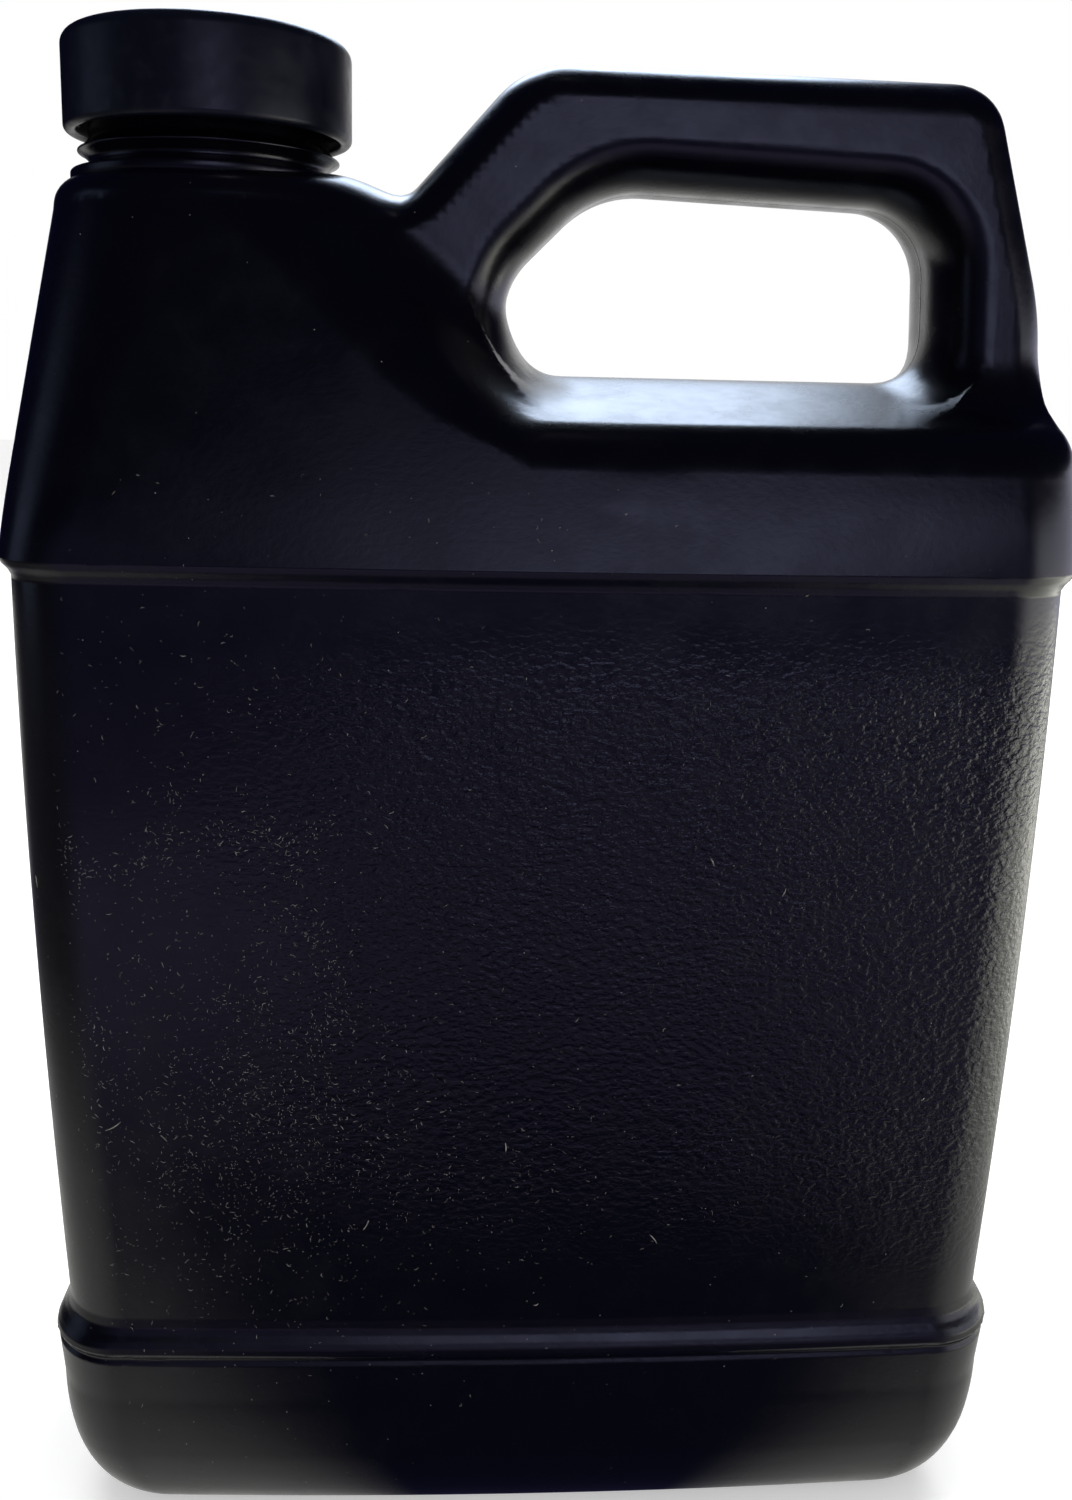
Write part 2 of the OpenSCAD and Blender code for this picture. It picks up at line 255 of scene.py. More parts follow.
HANDLE_OUTLINE = rounded_outline([
    (NECK_X, LIP_Z - 4, 2), (HALF_W - 1.4, LIP_Z - 4, 2), (LEG_X, LIP_Z + 18, 40), (LEG_X - 8.2, GRIP_Z - 0.7, 7.5),
    (HOLE_X0 + 2.3, GRIP_Z + 0.1, 12), (HOLE_X0 - 12.5, SADDLE_Z, 4), (NECK_X, SADDLE_Z, 2)])
HOLE_OUTLINE = rounded_outline([
    (HOLE_X0, HOLE_Z0 - 11, 2), (HOLE_X1 + 0.6, HOLE_Z0 - 11, 2), (HOLE_X1 - 0.8, HOLE_Z1 - 0.6, 9),
    (HOLE_X0 + 12, HOLE_Z1 + 1, 14), (HOLE_X0, HOLE_Z1 - 11, 11)])


class OutlineTable:
    """Distance to a closed outline in the middle plane, tabled on a fine grid and read back evenly."""

    X0, Z0, STEP = -75.0, 120.0, 0.25

    def __init__(self, outline):
        xs = np.arange(self.X0, 75, self.STEP)
        zs = np.arange(self.Z0, 200, self.STEP)
        x, z = np.meshgrid(xs, zs, indexing="ij")
        best, odd = np.full(x.shape, 1e9), np.zeros(x.shape, bool)
        for p, q in zip(outline, np.roll(outline, -1, axis=0)):
            e = q - p
            t = np.clip(((x - p[0]) * e[0] + (z - p[1]) * e[1]) / max(e @ e, 1e-12), 0, 1)
            best = np.minimum(best, np.hypot(x - p[0] - t * e[0], z - p[1] - t * e[1]))
            if p[1] != q[1]:
                at = p[0] + (z - p[1]) / (q[1] - p[1]) * e[0]
                odd ^= ((z > p[1]) != (z > q[1])) & (x < at)
        self.table = np.where(odd, -best, best)

    def __call__(self, x, z):
        n, m = self.table.shape
        i = np.clip((x - self.X0) / self.STEP, 0, n - 1.001)
        j = np.clip((z - self.Z0) / self.STEP, 0, m - 1.001)
        a, b = i.astype(int), j.astype(int)
        u, v, t = i - a, j - b, self.table
        return mix(mix(t[a, b], t[a + 1, b], u), mix(t[a, b + 1], t[a + 1, b + 1], u), v)


OUTER_TABLE, HOLE_TABLE = OutlineTable(HANDLE_OUTLINE), OutlineTable(HOLE_OUTLINE)


def plate_field(q, y, edge):
    """Plate of half depth GRIP_HALF whose outline q rounds in along an ellipse towards its faces."""
    across, deep = edge
    u = np.maximum(q + across, 0) / across
    v = np.maximum(np.abs(y) - GRIP_HALF + deep, 0) / deep
    r = np.hypot(u, v)
    slope = np.hypot(u / across, v / deep) / np.maximum(r, 1e-9)
    curved = (r - 1) / np.maximum(slope, 1e-3)
    return np.where(r > 0.35, curved, np.maximum(q, np.abs(y) - GRIP_HALF))


def handle_field(x, y, z):
    outer = plate_field(OUTER_TABLE(x, z), y, OUTER_EDGE)
    hole = plate_field(-HOLE_TABLE(x, z), np.minimum(np.abs(y), GRIP_HALF), HOLE_EDGE)
    return np.maximum(outer, hole)


def with_slope(field, x, y, z, step=0.2):
    """A field's values and its gradient."""
    f = field(x, y, z)
    slope = np.stack([field(x + step, y, z) - f, field(x, y + step, z) - f, field(x, y, z + step) - f]) / step
    return f, slope


def join(a, b, k, fade=1.0):
    """Both shapes in one, with a fillet of width k that can fade where their skins run parallel."""
    (fa, ga), (fb, gb) = a, b
    cosine = (ga * gb).sum(0) / np.maximum(np.linalg.norm(ga, axis=0) * np.linalg.norm(gb, axis=0), 1e-9)
    width = k * mix(1, np.clip((1 - cosine) * 1.8, 0, 1), fade) + 1e-3
    h = np.clip(0.5 + 0.5 * (fb - fa) / width, 0, 1)
    return mix(fb, fa, h) - width * h * (1 - h), mix(gb, ga, h)


def jug_field(x, y, z):
    tower = with_slope(tower_field, x, y, z)
    # Only the tower's side towards the hand hole runs into the ledge in a wide fillet
    towards_hole = np.clip(tower[1][0] * 1.4 - 0.1, 0, 1)
    base = join(with_slope(body_field, x, y, z), tower, TOWER_JOIN * towards_hole)
    return join(base, with_slope(handle_field, x, y, z), HANDLE_JOIN, np.clip((x - 5) / 25, 0, 1))


# meshes

def grid_levels():
    """Heights of the grid, closer where the profile turns fast."""
    parts = [np.arange(-1.5, 8, 0.8), np.arange(8, 23.9, 1.3), np.arange(24, 34, 0.4), np.arange(34.5, 125, 2.4),
             np.arange(126, 132.4, 0.4), np.arange(133, 194, GRID)]
    return np.concatenate(parts)


def pull_to_surface(points, rounds=5):
    """Moves points onto the jug's skin and gives its outward directions there."""
    for _ in range(rounds):
        f, g = jug_field(*points)
        points = points - np.clip(f * g / np.maximum((g * g).sum(0), 0.05), -0.7, 0.7)
    g = jug_field(*points)[1]
    return points, g / np.linalg.norm(g, axis=0)


def surface_net(xs, ys, zs, slab=24):
    """Points, outward directions and quads of the jug's skin on a box grid."""
    axes = (xs, ys, zs)
    shape = tuple(len(a) for a in axes)
    f = np.empty(shape)
    for k in range(0, len(zs), slab):
        f[:, :, k:k + slab] = jug_field(*np.meshgrid(xs, ys, zs[k:k + slab], indexing="ij"))[0]
    inside = f < 0
    corners = [(i, j, k) for i in (0, 1) for j in (0, 1) for k in (0, 1)]
    cut = [slice(None, -1), slice(1, None)]
    filled = sum(inside[cut[i], cut[j], cut[k]].astype(int) for i, j, k in corners)
    cells = np.argwhere((filled > 0) & (filled < 8))
    index = np.full(tuple(n - 1 for n in shape), -1)
    index[tuple(cells.T)] = np.arange(len(cells))
    total, count = np.zeros((3, len(cells))), np.zeros(len(cells))
    for a in corners:
        for axis in range(3):
            if a[axis]:
                continue
            b = tuple(1 if n == axis else a[n] for n in range(3))
            ia, ib = (tuple((cells + c).T) for c in (a, b))
            fa, fb = f[ia], f[ib]
            hit = (fa < 0) != (fb < 0)
            t = np.where(hit, fa / np.where(hit, fa - fb, 1), 0)
            place = np.stack([mix(axes[n][ia[n]], axes[n][ib[n]], t) for n in range(3)])
            total += np.where(hit, place, 0)
            count += hit
    points, normals = pull_to_surface(total / count)
    quads = []
    for axis in range(3):
        start = [slice(None)] * 3
        end = [slice(None)] * 3
        start[axis], end[axis] = slice(None, -1), slice(1, None)
        a, b = inside[tuple(start)], inside[tuple(end)]
        edges = np.argwhere(a != b)
        v, w = (axis + 1) % 3, (axis + 2) % 3
        ev, ew = edges[:, v], edges[:, w]
        edges = edges[(ev > 0) & (ew > 0) & (ev < shape[v] - 1) & (ew < shape[w] - 1)]
        ring = []
        for dv, dw in ((-1, -1), (0, -1), (0, 0), (-1, 0)):
            cell = edges.copy()
            cell[:, v] += dv
            cell[:, w] += dw
            ring.append(index[tuple(cell.T)])
        ring = np.stack(ring, axis=1)
        outward = a[tuple(edges.T)]
        quads.append(np.where(outward[:, None], ring, ring[:, ::-1]))
    return points.T, normals.T, np.concatenate(quads)


def add_piece(name, points, faces, material, body, slot, normals=None):
    """A smooth mesh piece from points in millimetres, riding on a body."""
    mesh = bpy.data.meshes.new(name)
    mesh.from_pydata((np.asarray(points) * MM).tolist(), [], [list(map(int, q)) for q in faces])
    mesh.update()
    mesh.shade_smooth()
    if normals is not None:
        mesh.normals_split_custom_set_from_vertices(np.asarray(normals).tolist())
    mesh.materials.append(material)
    piece = bpy.data.objects.new(name, mesh)
    bpy.context.scene.collection.objects.link(piece)
    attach(piece, body)
    return piece


def lathe(profile, ring=144):
    """Points and faces of a profile [radius, height] turned about the neck axis."""
    angles = np.linspace(0, 2 * math.pi, ring, endpoint=False)
    r, z = np.array(profile, float).T
    points = np.stack([NECK_X + np.outer(r, np.cos(angles)), np.outer(r, np.sin(angles)),
                       np.repeat(z[:, None], ring, axis=1)], axis=-1).reshape(-1, 3)
    faces = []
    for i in range(len(profile) - 1):
        j = i + 1
        for a in range(ring):
            b = (a + 1) % ring
            faces.append((i * ring + a, i * ring + b, j * ring + b, j * ring + a))
    return points, faces


def arc(cr, cz, r, start, end, n=6):
    """Profile points along an arc, its angles in degrees."""
    return [(cr + r * math.cos(math.radians(a)), cz + r * math.sin(math.radians(a)))
            for a in np.linspace(start, end, n)]


def neck_profile():
    """From the bore's foot up the bore, over the lip and down to the ring at the root."""
    bore_foot = TOWER_Z - 1.2
    return ([(BORE_R, bore_foot), (BORE_R, 178), (BORE_R, 184)] + arc(BORE_R + 0.4, LIP_TOP - 0.4, 0.4, 180, 90, 4)
            + arc(NECK_R - 0.6, LIP_TOP - 0.6, 0.6, 90, 0, 5) + [(NECK_R, 184), (NECK_R, 180.4), (NECK_R + 0.2, 180.0)]
            + [(BEAD_R - 0.5, BEAD_Z + 0.35)] + arc(BEAD_R - 0.18, BEAD_Z, 0.18, 60, -60, 5)
            + [(BEAD_R - 0.5, BEAD_Z - 0.35), (NECK_R + 0.2, BEAD_Z - 0.9)]
            + arc(NECK_R + 1.1, RING_TOP + 1.1, 1.1, 180, 262, 7)
            + arc(RING_R - 0.35, RING_TOP - 0.35, 0.35, 80, 0, 4) + [(RING_R, TOWER_Z - 0.4), (RING_R - 1, bore_foot)])


def cap_profile():
    """From the middle of the liner seat down the bore, round the skirt and up to the top."""
    seat = CAP_Z1 - CAP_TOP_T
    return ([(0.01, seat), (CAP_BORE_R - 0.4, seat)] + arc(CAP_BORE_R - 0.4, seat - 0.4, 0.4, 90, 0, 4)
            + [(CAP_BORE_R, 186), (CAP_BORE_R, CAP_Z0 + 0.5), (CAP_BORE_R + 0.15, CAP_Z0 + 0.1)]
            + arc(CAP_R - CAP_LOW_EDGE, CAP_Z0 + CAP_LOW_EDGE, CAP_LOW_EDGE, 270, 360, 7)
            + [(CAP_R, 184), (CAP_R, 187.5)]
            + arc(CAP_R - CAP_TOP_EDGE, CAP_Z1 - CAP_TOP_EDGE, CAP_TOP_EDGE, 0, 90, 10) + [(8, CAP_Z1), (0.01, CAP_Z1)])


def thread(root_r, crest_r, z0, turns, turn_from=0.0, steps_a_turn=72):
    """A ridge that climbs round the neck axis and fades out at both ends."""
    steps = int(turns * steps_a_turn)
    side = 1 if crest_r > root_r else -1
    shape = [(-0.4, 1.25), (0.0, 1.05), (0.55, 0.75), (0.9, 0.5), (1.0, 0.22)]
    shape = shape + [(h, -w) for h, w in reversed(shape)]
    points, faces = [], []
    for i in range(steps + 1):
        a = turn_from + 2 * math.pi * turns * i / steps
        full = min(1.0, min(i, steps - i) / 9 + 0.04)
        for h, w in shape:
            r = root_r + side * (abs(crest_r - root_r) * h * full if h > 0 else h)
            height = z0 + THREAD_PITCH * turns * i / steps + side * w * full
            points.append((NECK_X + r * math.cos(a), r * math.sin(a), height))
    n = len(shape)
    for i in range(steps):
        for j in range(n - 1):
            faces.append((i * n + j, i * n + j + 1, (i + 1) * n + j + 1, (i + 1) * n + j))
    faces += [tuple(range(n - 1, -1, -1)), tuple(steps * n + j for j in range(n))]
    return np.array(points), faces


def together(*meshes):
    """Several meshes' points and faces as one."""
    points, faces, base = [], [], 0
    for p, f in meshes:
        points.append(p)
        faces += [tuple(i + base for i in q) for q in f]
        base += len(p)
    return np.concatenate(points), faces


def cavity():
    """The CAD bottle's inner faces, which lie deeper than the skin."""
    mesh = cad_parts["bottle"].data
    at = np.array([v.co for v in mesh.vertices]) / MM
    faces = [tuple(p.vertices) for p in mesh.polygons]
    middle = np.array([at[list(f)].mean(0) for f in faces])
    depth = jug_field(*middle.T)[0]
    deepest = np.array([jug_field(*at[list(f)].T)[0].max() for f in faces])
    beside_neck = np.hypot(middle[:, 0] - NECK_X, middle[:, 1]) < RING_R
    keep = (depth < -WALL * 0.45) & (deepest < -WALL * 0.3) & ~(beside_neck & (middle[:, 2] > TOWER_Z - 0.6))
    used = sorted({i for f, k in zip(faces, keep) if k for i in f})
    place = {v: n for n, v in enumerate(used)}
    return at[used], [tuple(place[i] for i in f) for f, k in zip(faces, keep) if k]


def build_jug(material):
    xs = np.arange(-68, 68.5, GRID)
    ys = np.arange(-30.5, 31, GRID)
    points, normals, quads = surface_net(xs, ys, grid_levels())
    middle = points[quads].mean(1)
    from_axis = np.hypot(middle[:, 0] - NECK_X, middle[:, 1])
    under_neck = (from_axis < (BORE_R + RING_R) / 2) & (middle[:, 2] > TOWER_Z - 1)
    add_piece("jug_skin", points, quads[~under_neck], material, "jug", "bottle_plastic", normals)
    inner, faces = cavity()
    add_piece("jug_cavity", inner, faces, material, "jug", "bottle_plastic")
    neck = together(lathe(neck_profile()),
                    thread(NECK_R, THREAD_R, THREAD_TOP - 1.1 - THREAD_PITCH * THREAD_TURNS, THREAD_TURNS))
    add_piece("jug_neck", *neck, material, "jug", "bottle_plastic")
    for name in ("jug_skin", "jug_cavity", "jug_neck"):
        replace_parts(bpy.data.objects[name], "bottle")


def build_cap(material):
    # The cap's thread starts half a turn round and lies under the neck's with a little play
    ridge, play = 2.2, 0.3
    z0 = THREAD_TOP - 1.1 - THREAD_PITCH * (THREAD_TURNS - 0.5) - ridge - play
    cap = together(lathe(cap_profile()), thread(CAP_BORE_R, CAP_CREST_R, z0, 1.0, math.pi))
    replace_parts(add_piece("screw_cap", *cap, material, "closure", "cap_plastic"), "cap")


# lint

def fibre_paths(rng, starts, lengths, headings, curls, steps=5):
    """Curved paths on the front of the jug, one row of points per fibre."""
    t = np.linspace(0, 1, steps)
    turn = headings[:, None] + curls[:, None] * t
    step = lengths[:, None] / (steps - 1)
    x = starts[:, :1] + np.cumsum(np.cos(turn) * step, axis=1)
    z = starts[:, 1:] + np.cumsum(np.sin(turn) * step, axis=1)
    y = np.full(x.shape, -27.0)
    for _ in range(12):
        f, g = jug_field(x, y, z)
        y -= np.clip(f / np.where(np.abs(g[1]) > 0.2, g[1], -1), -1.5, 1.5)
    lift = 0.03 + rng.uniform(0, 0.12, len(x))[:, None] * np.sin(t * math.pi)
    return np.stack([x, np.maximum(y - lift, 0.06 - HALF_D), z], axis=-1)


def tubes(paths, radii):
    """Three-sided tubes along the paths."""
    count, steps, _ = paths.shape
    along = np.gradient(paths, axis=1)
    along /= np.maximum(np.linalg.norm(along, axis=2, keepdims=True), 1e-9)
    out = np.array([0.0, -1.0, 0.0])
    side = np.cross(along, out)
    side /= np.maximum(np.linalg.norm(side, axis=2, keepdims=True), 1e-9)
    taper = np.sin(np.linspace(0.25, math.pi - 0.25, steps))[None, :, None] * radii[:, None, None]
    rings = [paths + taper * (side * math.cos(a) + out * math.sin(a)) for a in np.radians((90, 210, 330))]
    points = np.stack(rings, axis=2).reshape(-1, 3)
    first = (np.arange(count)[:, None] * steps + np.arange(steps - 1)) * 3
    quads = [np.stack([first + j, first + (j + 1) % 3, first + 3 + (j + 1) % 3, first + 3 + j], axis=-1).reshape(-1, 4)
             for j in range(3)]
    return points, np.concatenate(quads)


# Trails of dust in the photograph: corner pixels, spread in pixels, number of fibres
TRAILS = [([(58, 845), (72, 868), (92, 884)], 9, 150),
          ([(108, 876), (150, 856), (176, 828), (215, 836), (252, 840), (300, 834), (336, 824)], 7, 460),
          ([(262, 835), (290, 860), (302, 882)], 6, 100),
          ([(288, 912), (318, 935), (330, 962), (338, 1002), (318, 1042), (322, 1092), (302, 1132)], 9, 430),
          ([(140, 790), (180, 800)], 7, 50), ([(200, 1000), (240, 1012), (272, 1000)], 10, 110),
          ([(78, 1030), (112, 1062), (132, 1112)], 13, 160), ([(150, 1180), (230, 1215), (300, 1200)], 16, 220),
          ([(100, 1250), (180, 1290), (260, 1300)], 16, 160), ([(465, 1225), (520, 1200), (515, 1140)], 9, 90)]
# Loose dust: middle and spread in pixels, number of fibres
DUST = [((215, 1010), (95, 160), 800), ((270, 1150), (95, 85), 1500), ((180, 690), (90, 50), 110),
        ((540, 1180), (150, 90), 260), ((540, 900), (300, 220), 240), ((350, 510), (200, 30), 40)]


def lint_starts(rng):
    """Where the fibres lie: thick in trails at the lower left of the front, and thin elsewhere."""
    pixels = [rng.normal(middle, spread, (n, 2)) for middle, spread, n in DUST]
    for corners, spread, n in TRAILS:
        along = rng.uniform(0, len(corners) - 1, n // 2)
        spot = np.stack([np.interp(along, range(len(corners)), axis) for axis in zip(*corners)], axis=1)
        pixels.append(spot + rng.standard_t(3, (n // 2, 2)) * spread * 1.15)
    spots = np.array([photo_to_front(*q)[[0, 2]] for q in np.concatenate(pixels)])
    edge = HALF_W - 6 - np.maximum(0, (WAIST_Z - spots[:, 1]) * 0.03)
    good = (np.abs(spots[:, 0]) < edge) & (spots[:, 1] > 8) & (spots[:, 1] < 141)
    return spots[good]


def add_lint(material):
    rng = np.random.default_rng(29)
    spots = lint_starts(rng)
    n = len(spots)
    lengths = np.where(rng.random(n) < 0.72, rng.uniform(0.1, 0.26, n), rng.uniform(0.28, 0.8, n))
    headings, curls = rng.uniform(0, 2 * math.pi, n), rng.normal(0, 1.6, n)
    # Marks that stand out one by one in the photograph: pixel, length, heading
    marks = [((782, 900), 1.1, 0.9), ((96, 1141), 2.4, 0.25), ((165, 1152), 1.2, 2.0), ((937, 720), 0.7, 1.5),
             ((925, 1108), 0.6, 0.4), ((533, 1315), 0.7, 0.1), ((715, 870), 1.2, 1.7), ((805, 597), 0.5, 0.2),
             ((25, 905), 1.6, 1.4), ((360, 1240), 1.6, 0.8), ((505, 1160), 1.4, 1.3), ((660, 1255), 1.8, 1.9)]
    marked = np.array([photo_to_front(*m[0])[[0, 2]] for m in marks])
    spots = np.concatenate([spots, marked])
    lengths = np.concatenate([lengths, [m[1] for m in marks]])
    headings = np.concatenate([headings, [m[2] for m in marks]])
    curls = np.concatenate([curls, np.full(len(marks), 0.5)])
    radii = np.concatenate([rng.uniform(0.014, 0.036, n), np.full(len(marks), 0.09)])
    points, quads = tubes(fibre_paths(rng, spots, lengths, headings, curls), radii)
    add_piece("lint", points, quads, material, "jug", "bottle_plastic")


# materials

JUG_BLACK = (0.001, 0.0012, 0.0034, 1)
CAP_BLACK = (0.0021, 0.0031, 0.0085, 1)


class Paint:
    """A material's node tree, with a short way to add and link nodes."""

    def __init__(self, name):
        self.material = bpy.data.materials.new(name)
        self.material.use_nodes = True
        self.tree = self.material.node_tree
        self.shader = next(n for n in self.tree.nodes if n.type == "BSDF_PRINCIPLED")

    def add(self, kind, inputs=None, out=0, **settings):
        node = self.tree.nodes.new(kind)
        for key, value in settings.items():
            setattr(node, key, value)
        for key, value in (inputs or {}).items():
            self.put(node.inputs[key], value)
        return node.outputs[out]

    def put(self, socket, value):
        if isinstance(value, bpy.types.NodeSocket):
            self.tree.links.new(value, socket)
        else:
            socket.default_value = value

    def set(self, **inputs):
        for key, value in inputs.items():
            self.put(self.shader.inputs[key.replace("_", " ")], value)

    def math(self, operation, a, b=0.0, clamp=False):
        return self.add("ShaderNodeMath", {0: a, 1: b}, operation=operation, use_clamp=clamp)

    def spread(self, value, a, b, c=0.0, d=1.0):
        """Maps a..b onto c..d, eased at both ends."""
        return self.add("ShaderNodeMapRange", {"Value": value, "From Min": a, "From Max": b, "To Min": c, "To Max": d},
                        interpolation_type="SMOOTHSTEP")

    def place(self, scale=(1, 1, 1)):
        """Place on the object in millimetres, stretched by scale."""
        spot = self.add("ShaderNodeTexCoord", out=3)
        return self.add("ShaderNodeMapping", {"Vector": spot, "Scale": [1000 * s for s in scale]})

    def noise(self, place, scale, detail=2.0, rough=0.5):
        return self.add("ShaderNodeTexNoise", {"Vector": place, "Scale": scale, "Detail": detail, "Roughness": rough})

    def bump(self, height, distance, strength=1.0, under=None):
        inputs = {"Height": height, "Distance": distance * MM, "Strength": strength}
        if under is not None:
            inputs["Normal"] = under
        return self.add("ShaderNodeBump", inputs)

    def blend(self, share, a, b):
        node = self.tree.nodes.new("ShaderNodeMix")
        node.data_type = "RGBA"
        for index, value in ((0, share), (6, a), (7, b)):
            self.put(node.inputs[index], value)
        return node.outputs[2]


def jug_plastic():
    p = Paint("jug_plastic")
    place = p.place()
    parts = p.tree.nodes.new("ShaderNodeSeparateXYZ")
    p.put(parts.inputs[0], place)
    x, y, z = parts.outputs
    # Leathery skin of the blow mould in flat cells, strongest on the label panels
    wide = p.place((0.78, 0.9, 1.15))
    cells = p.noise(wide, 1.2, 2.5, 0.5)
    grain = p.math("ADD", p.spread(cells, 0.3, 0.7), p.math("MULTIPLY", p.noise(wide, 0.45, 2.0), 0.12))
    panel = p.math("MULTIPLY", p.spread(z, 33, 40), p.spread(z, 126, 112))
    middle = p.math("MULTIPLY", p.spread(x, -50, -2), p.spread(p.math("ABSOLUTE", z), 28, 60))
    amount = p.math("ADD", p.math("MULTIPLY", p.math("MULTIPLY", panel, middle), 0.96), 0.04)
    patch = p.spread(p.noise(place, 0.02, 2.0), 0.3, 0.65, 0.7, 1.0)
    height = p.math("MULTIPLY", grain, p.math("MULTIPLY", amount, patch))
    fine = p.bump(p.noise(place, 7.0, 2.0), 0.006)
    skin = p.bump(height, 0.13, under=fine)
    # Parting line of the two mould halves, and slow sink over the broad walls
    ridge = p.spread(p.math("ABSOLUTE", y), 0.28, 0.05)
    seam = p.bump(ridge, 0.07, under=skin)
    sink = p.bump(p.noise(p.place((1.0, 1.0, 0.6)), 0.035, 1.0), 0.35, under=seam)
    # Fine dust, thicker low on the left
    cells = p.add("ShaderNodeTexVoronoi", {"Vector": place, "Scale": 0.9, "Randomness": 1.0})
    chance = p.add("ShaderNodeTexVoronoi", {"Vector": place, "Scale": 0.9, "Randomness": 1.0}, out=1)
    low_left = p.math("MULTIPLY", p.spread(x, 20, -50), p.spread(z, 125, 60))
    thick = p.math("ADD", p.math("MULTIPLY", low_left, 0.26), 0.035)
    pick = p.math("LESS_THAN", p.add("ShaderNodeSeparateColor", {0: chance}), thick)
    speck = p.math("MULTIPLY", p.math("LESS_THAN", cells, 0.07), pick)
    cloud = p.spread(p.noise(place, 0.09, 4.0, 0.65), 0.45, 0.8)
    haze = p.math("MULTIPLY", cloud, p.math("MULTIPLY", low_left, 0.012))
    tone = p.blend(haze, JUG_BLACK, (0.3, 0.28, 0.25, 1))
    tone = p.blend(p.math("MULTIPLY", speck, 0.55), tone, (0.34, 0.32, 0.29, 1))
    rough = p.spread(p.noise(place, 0.16, 3.0, 0.6), 0.3, 0.75, 0.21, 0.3)
    rough = p.math("ADD", rough, p.math("MULTIPLY", speck, 0.4), clamp=True)
    p.set(Base_Color=tone, Roughness=rough, Normal=sink, IOR=1.5)
    return p.material


def cap_plastic():
    p = Paint("cap_plastic")
    place = p.place()
    fine = p.bump(p.noise(place, 6.0, 3.0), 0.006)
    wave = p.bump(p.noise(place, 0.25, 2.0), 0.05, under=fine)
    worn = p.spread(p.noise(place, 0.5, 4.0, 0.6), 0.5, 0.75, 0.0, 0.02)
    tone = p.blend(worn, CAP_BLACK, (0.2, 0.2, 0.2, 1))
    rough = p.spread(p.noise(place, 0.4, 3.0, 0.6), 0.3, 0.75, 0.3, 0.4)
    p.set(Base_Color=tone, Roughness=rough, Normal=wave, IOR=1.5, Specular_IOR_Level=0.36)
    return p.material


def liner_foam():
    p = Paint("liner_foam")
    place = p.place()
    cells = p.add("ShaderNodeTexVoronoi", {"Vector": place, "Scale": 3.0, "Randomness": 1.0})
    tone = p.blend(p.noise(place, 0.8, 3.0), (0.78, 0.77, 0.74, 1), (0.86, 0.85, 0.82, 1))
    p.set(Base_Color=tone, Roughness=0.75, Normal=p.bump(cells, 0.03))
    return p.material


def lint_fibre():
    p = Paint("lint_fibre")
    tone = p.blend(p.spread(p.noise(p.place(), 0.6, 2.0), 0.35, 0.65), (0.22, 0.2, 0.17, 1), (0.5, 0.48, 0.43, 1))
    p.set(Base_Color=tone, Roughness=p.spread(p.noise(p.place(), 2.0, 2.0), 0.3, 0.7, 0.7, 0.9))
    return p.material


# studio

# Painted reflections: tones of a glowing room that the gloss sees, from the front round to the back
ROOM_BLACK = (0.004, 0.004, 0.02, 1)
ROOM_DUSK = (0.07, 0.07, 0.17, 1)
ROOM_FRONT = (0.95, 0.98, 1.6, 1)
ROOM_LEFT = (0.2, 0.24, 0.38, 1)
ROOM_RIGHT = (1.3, 1.3, 1.6, 1)
ROOM_BACK = (1.0, 1.0, 1.0, 1)
ROOM_SKY = (5.2, 6.2, 7.8, 1)
# Painted reflections of the table top that the gloss sees, with painted shade close in front and painted light far on
# the right
TABLE_NEAR_SHADE = (0.02, 0.02, 0.06, 1)
TABLE_FRONT = (0.27, 0.23, 0.41, 1)
TABLE_PALE = (0.62, 0.62, 0.6, 1)
TABLE_FAR = (0.04, 0.04, 0.12, 1)
TABLE_DARK = (0.06, 0.06, 0.07, 1)
TABLE_LIT = (3.0, 3.0, 2.7, 1)


def stage_mesh(name, points, faces, material):
    mesh = bpy.data.meshes.new(name)
    mesh.from_pydata([tuple(p) for p in points], [], faces)
    mesh.materials.append(material)
    piece = bpy.data.objects.new(name, mesh)
    bpy.context.scene.collection.objects.link(piece)
    return piece


def seen_directly(tree):
    """1 for camera, glossy and transmission rays, otherwise 0."""
    path = tree.nodes.new("ShaderNodeLightPath")
    total = None
    for ray in ("Is Camera Ray", "Is Glossy Ray", "Is Transmission Ray"):
        if total is None:
            total = path.outputs[ray]
            continue
        node = tree.nodes.new("ShaderNodeMath")
        node.operation = "MAXIMUM"
        tree.links.new(total, node.inputs[0])
        tree.links.new(path.outputs[ray], node.inputs[1])
        total = node.outputs[0]
    return total


def add_world():
    """White where it is seen, and a plain dim light where it only lights."""
    world = bpy.data.worlds.new("studio")
    bpy.context.scene.world = world
    world.use_nodes = True
    tree = world.node_tree
    background = tree.nodes["Background"]
    level = tree.nodes.new("ShaderNodeMapRange")
    tree.links.new(seen_directly(tree), level.inputs["Value"])
    level.inputs["To Min"].default_value = 0.55
    level.inputs["To Max"].default_value = 1.0
    background.inputs["Color"].default_value = (1, 1, 1, 1)
    tree.links.new(level.outputs[0], background.inputs["Strength"])


def floor_material():
    p = Paint("pale_floor")
    tone = p.blend(p.noise(p.place(), 0.02, 3.0), (0.78, 0.78, 0.78, 1), (0.82, 0.82, 0.82, 1))
    glow = p.math("MULTIPLY", seen_directly(p.tree), 0.42)
    p.set(Base_Color=tone, Roughness=0.9, Emission_Color=(1, 1, 1, 1), Emission_Strength=glow)
    return p.material


def add_floor():
    reach = 4.0
    corners = [(-reach, -reach, 0), (reach, -reach, 0), (reach, reach, 0), (-reach, reach, 0)]
    stage_mesh("floor", corners, [(0, 1, 2, 3)], floor_material())


